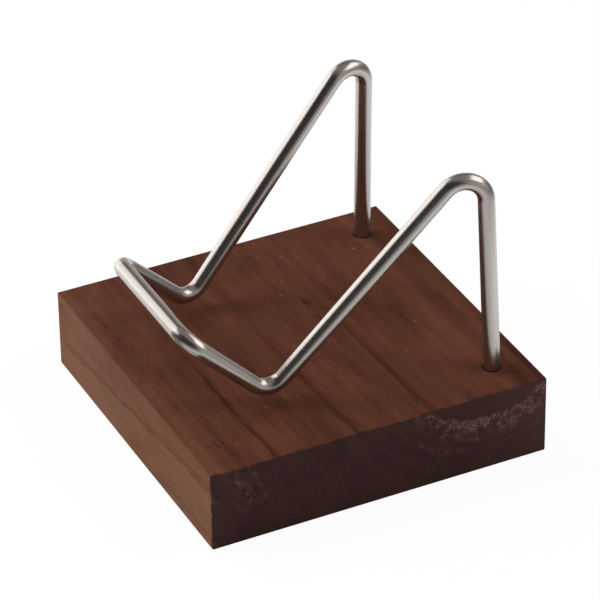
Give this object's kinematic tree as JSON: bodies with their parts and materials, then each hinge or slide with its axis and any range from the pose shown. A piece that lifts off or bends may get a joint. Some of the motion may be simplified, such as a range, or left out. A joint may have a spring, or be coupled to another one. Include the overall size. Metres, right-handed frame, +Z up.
{
  "type": "specimen display stand",
  "caption": "Walnut block with a bent steel rod easel: sloped arms and a raised front lip cradle a specimen, and the rod's tails plug into sockets near the back edge.",
  "frame": {"origin": "middle of the block's underside, on the surface that the stand rests on", "axes": "+Z up, -Y towards the front, where the lip is, +X to the stand's right, along the wood's grain"},
  "size_m": [0.085, 0.085, 0.0711],
  "materials": {
    "oiled_walnut": "sanded, satin oil",
    "bright_stainless_steel": "bright drawn, lightly polished"
  },
  "bodies": {
    "base": {"walnut_base": "oiled_walnut"},
    "easel": {"steel_easel_rod": "bright_stainless_steel"}
  },
  "joints": [
    {"name": "easel_lift", "type": "slide", "parent": "base", "child": "easel", "axis": [0, 0, 1], "range_m": [0, 0.0117]}
  ]
}
